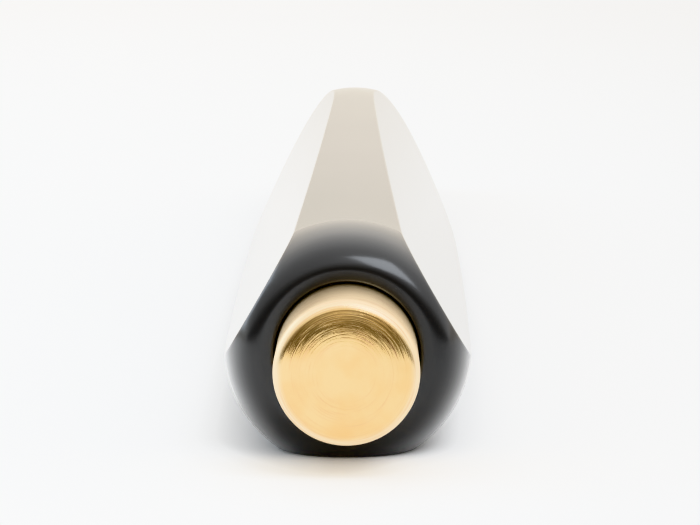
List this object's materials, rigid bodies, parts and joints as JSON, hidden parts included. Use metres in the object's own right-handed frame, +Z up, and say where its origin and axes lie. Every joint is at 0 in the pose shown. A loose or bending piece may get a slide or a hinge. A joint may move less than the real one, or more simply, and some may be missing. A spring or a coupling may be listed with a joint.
{
  "type": "ballpoint pen",
  "caption": "Push-button ballpoint pen with a turned black barrel that has three long flats, a domed shoulder, a brass button and a screwed tapered front.",
  "frame": {"origin": "middle of the pen's length, under its axis, on the surface that the bottom flat rests on", "axes": "+Y along the pen towards the writing tip, +Z up, +X to the right of someone who looks at the button"},
  "size_m": [0.013, 0.14, 0.0113],
  "materials": {
    "black_anodised": "satin black anodised",
    "polished_brass": "turned and polished",
    "bush_brass": "machined",
    "pale_nylon": "moulded",
    "dark_nylon": "moulded",
    "steel": "drawn and turned",
    "spring_steel": "wound wire",
    "black_rubber": "moulded",
    "ink": "thick liquid",
    "ball_carbide": "ground"
  },
  "bodies": {
    "barrel": {"barrel": "black_anodised", "thread_bush": "bush_brass", "guide_sleeve": "pale_nylon", "guide_collar": "steel"},
    "button": {"button_cap": "polished_brass", "plunger": "pale_nylon"},
    "rotor": {"cam_rotor": "dark_nylon"},
    "refill": {"refill_end_plug": "dark_nylon", "refill_tube": "steel", "ink_column": "ink", "refill_neck": "bush_brass", "refill_tip": "steel", "return_spring": "spring_steel"},
    "ball": {"writing_ball": "ball_carbide"},
    "seal": {"thread_seal": "black_rubber"},
    "front": {"front_section": "black_anodised"}
  },
  "joints": [
    {"name": "button_press", "type": "slide", "parent": "barrel", "child": "button", "axis": [0, 1, 0], "range_m": [0, 0.0034], "stiffness_N_per_m": 400, "springref_m": -0.004},
    {"name": "rotor_slide", "type": "slide", "parent": "barrel", "child": "rotor", "axis": [0, 1, 0], "range_m": [0, 0.0034]},
    {"name": "refill_slide", "type": "slide", "parent": "barrel", "child": "refill", "axis": [0, 1, 0], "range_m": [0, 0.0034], "deforming": ["return_spring"]},
    {"name": "ball_roll", "type": "hinge", "parent": "refill", "child": "ball", "pos_m": [0, 0.06845, 0.00445], "axis": [1, 0, 0], "continuous": true},
    {"name": "front_travel", "type": "slide", "parent": "barrel", "child": "seal", "axis": [0, 1, 0], "range_m": [0, 0.005]},
    {"name": "front_unscrew", "type": "hinge", "parent": "seal", "child": "front", "pos_m": [0, 0.0495, 0.00445], "axis": [0, 1, 0], "range_deg": [0, 1810]}
  ],
  "couplings": [
    {"joint": "rotor_slide", "follows": "button_press", "ratio": 1},
    {"joint": "refill_slide", "follows": "button_press", "ratio": 1},
    {"joint": "front_unscrew", "follows": "front_travel", "rad_per_m": 6283.2}
  ]
}
